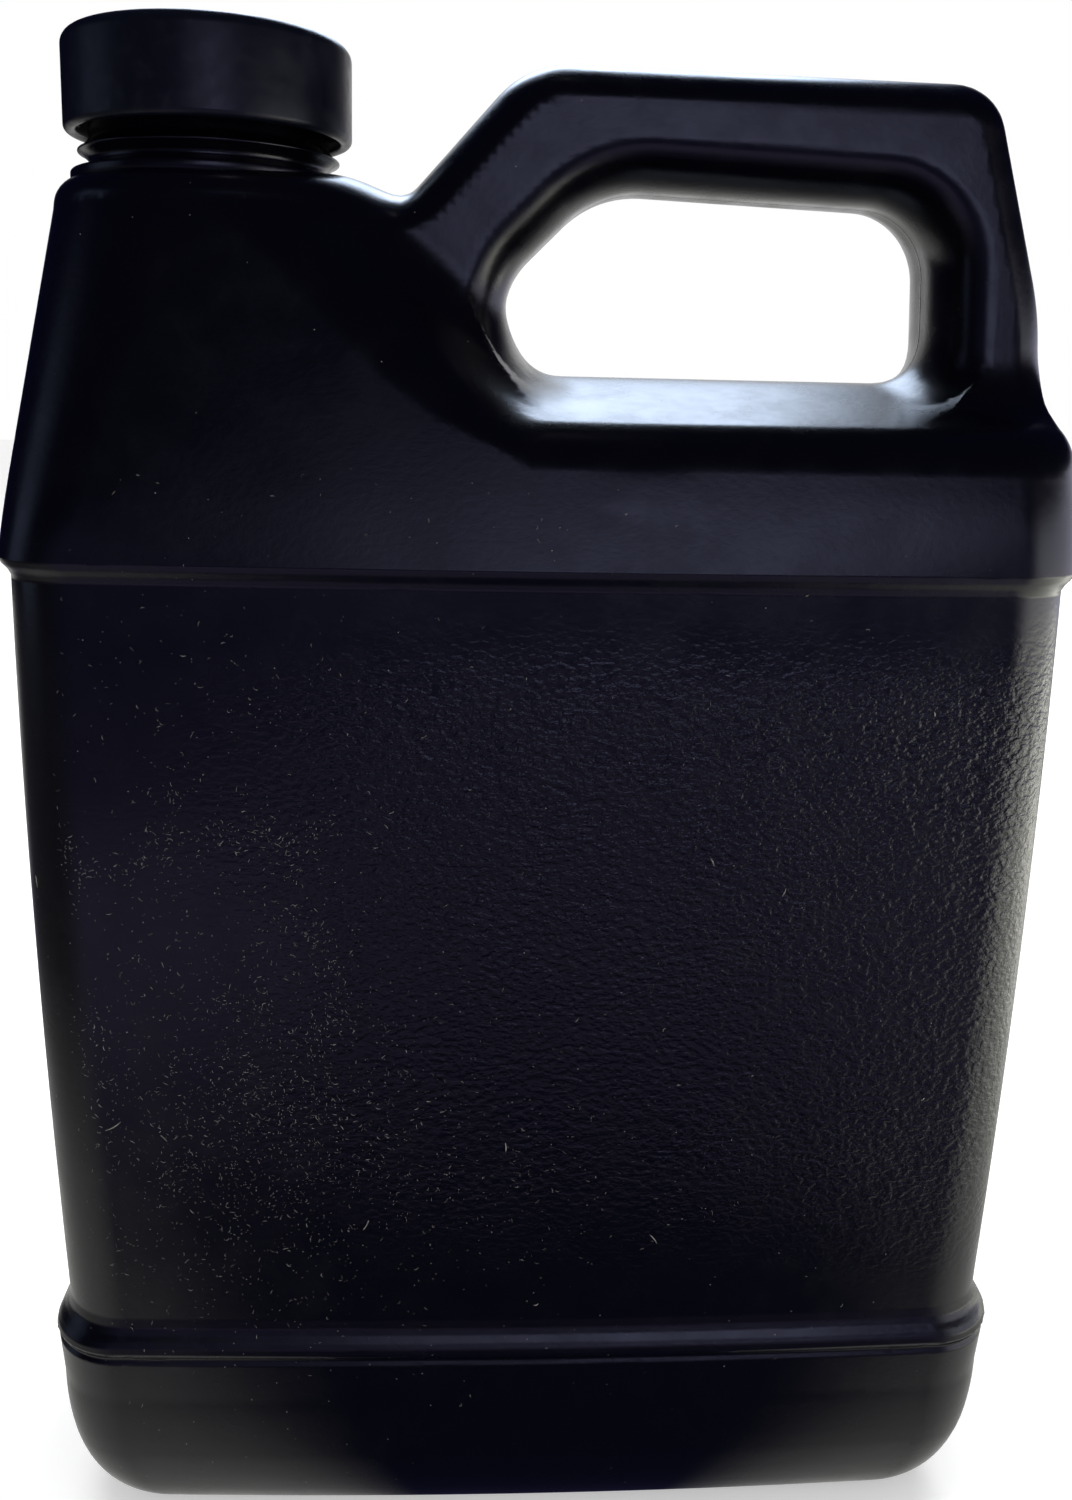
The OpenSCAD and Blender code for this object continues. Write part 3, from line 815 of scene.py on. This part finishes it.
def glow_paint(name, tone_at):
    """A shadeless material whose tone comes from the place on it, in metres."""
    p = Paint(name)
    spot = p.add("ShaderNodeTexCoord", out=3)
    parts = p.tree.nodes.new("ShaderNodeSeparateXYZ")
    p.put(parts.inputs[0], spot)
    tone = tone_at(p, *parts.outputs)
    p.set(Base_Color=(0, 0, 0, 1), Roughness=1.0, Specular_IOR_Level=0.0, Emission_Color=tone, Emission_Strength=1.0)
    return p.material


def degrees_of(p, up, across):
    return p.math("MULTIPLY", p.math("ARCTAN2", up, across), 180 / math.pi)


def room_tone(p, x, y, z):
    """Painted reflection of a room: dark but for a soft patch in front, a lit wall on the right, and a window high
    behind.
    """
    turn = degrees_of(p, x, p.math("MULTIPLY", y, -1.0))
    level = p.math("SQRT", p.math("ADD", p.math("MULTIPLY", x, x), p.math("MULTIPLY", y, y)))
    height = degrees_of(p, p.math("SUBTRACT", z, 0.12), level)
    tone = p.blend(p.math("MULTIPLY", p.spread(turn, -60, -20), p.spread(height, 12, 2)), ROOM_BLACK, ROOM_DUSK)
    patch = p.math("MULTIPLY", p.spread(turn, -15, 8), p.spread(turn, 25, 20))
    patch = p.math("MULTIPLY", patch, p.math("MULTIPLY", p.spread(height, 28, 13), p.spread(height, -2, 4)))
    tone = p.blend(patch, tone, ROOM_FRONT)
    left = p.math("MULTIPLY", p.spread(turn, -106, -92), p.spread(turn, -66, -80))
    tone = p.blend(p.math("MULTIPLY", left, p.spread(height, 30, 16)), tone, ROOM_LEFT)
    wall = p.math("MULTIPLY", p.spread(turn, 34, 52), p.spread(turn, 175, 60, 0.25, 1.0))
    tone = p.blend(p.math("MULTIPLY", wall, p.spread(height, 14, 6)), tone, ROOM_RIGHT)
    behind = p.math("ADD", p.spread(turn, 140, 165), p.spread(turn, -150, -168), clamp=True)
    tone = p.blend(p.math("MULTIPLY", behind, p.spread(height, 34, 20)), tone, ROOM_BACK)
    window = p.math("ADD", p.spread(turn, 154, 166), p.spread(turn, -154, -168), clamp=True)
    window = p.math("MULTIPLY", window, p.math("MULTIPLY", p.spread(height, 24, 38), p.spread(height, 57, 50)))
    return p.blend(window, tone, ROOM_SKY)


def table_tone(p, x, y, z):
    """Painted reflection of the table: painted shade close in front, paler beside the foot, and painted light far on
    the right.
    """
    away = p.math("SQRT", p.math("ADD", p.math("MULTIPLY", x, x), p.math("MULTIPLY", y, y)))
    side = p.math("DIVIDE", x, p.math("MAXIMUM", away, 0.001))
    # Painted shade close in front of the foot, fading out further away
    front = p.blend(p.spread(away, 0.08, 0.23), TABLE_NEAR_SHADE, TABLE_FRONT)
    front = p.blend(p.spread(away, 0.28, 0.4), front, TABLE_FAR)
    left = p.blend(p.spread(away, 0.08, 0.25), TABLE_PALE, TABLE_DARK)
    right = p.blend(p.spread(away, 0.09, 0.4), TABLE_PALE, TABLE_LIT)
    tone = p.blend(p.spread(side, -0.55, -0.92), front, left)
    tone = p.blend(p.spread(side, 0.66, 0.94), tone, right)
    back = p.blend(p.spread(away, 0.12, 0.5), TABLE_DARK, TABLE_PALE)
    behind = p.math("MULTIPLY", p.spread(y, 0.0, 0.06), p.spread(p.math("ABSOLUTE", side), 0.9, 0.6))
    return p.blend(behind, tone, back)


def add_reflected_room():
    """A glowing dome and table top that show only in gloss, as painted reflections."""
    radius, ring = 0.9, 48
    around = np.linspace(0, 2 * math.pi, ring, endpoint=False)
    rise_up = np.radians([0, 8, 16, 24, 32, 42, 52, 64, 76, 88])
    dome = [(radius * math.cos(e) * math.cos(a), radius * math.cos(e) * math.sin(a), radius * math.sin(e))
            for e in rise_up for a in around]
    faces = [(i * ring + j, i * ring + (j + 1) % ring, (i + 1) * ring + (j + 1) % ring, (i + 1) * ring + j)
             for i in range(len(rise_up) - 1) for j in range(ring)]
    table = [(radius * math.cos(a), radius * math.sin(a), 0.0005) for a in around]
    pieces = [stage_mesh("reflected_room", dome, faces, glow_paint("reflected_room", room_tone)),
              stage_mesh("reflected_table", table, [tuple(range(ring))], glow_paint("reflected_table", table_tone))]
    for piece in pieces:
        piece.visible_camera = piece.visible_diffuse = piece.visible_shadow = False
        piece.visible_transmission = piece.visible_volume_scatter = False


def add_lamp(name, at, target, size, power):
    data = bpy.data.lights.new(name, "AREA")
    data.shape, data.size, data.energy = "DISK", size, power
    lamp = bpy.data.objects.new(name, data)
    lamp.visible_glossy = False
    at, target = np.array(at, float), np.array(target, float)
    back = at - target
    back /= np.linalg.norm(back)
    right = np.cross((0, 0, 1), back)
    right /= np.linalg.norm(right)
    up = np.cross(back, right)
    lamp.matrix_world = Matrix([[*axis] for axis in zip(right, up, back, at)] + [[0, 0, 0, 1]])
    bpy.context.scene.collection.objects.link(lamp)


def main():
    add_camera()
    plastic = jug_plastic()
    build_jug(plastic)
    build_cap(cap_plastic())
    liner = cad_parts["cap_liner"]
    liner.data.materials.clear()
    liner.data.materials.append(liner_foam())
    add_lint(lint_fibre())
    add_world()
    add_floor()
    add_reflected_room()
    add_lamp("window", (0.5, 0.9, 0.7), (0, 0, 0.1), 0.7, 9)
    add_lamp("overhead", (-0.2, 0.1, 1.1), (0, 0, 0.1), 0.8, 6)
    bpy.context.scene.view_settings.view_transform = "Standard"


main()
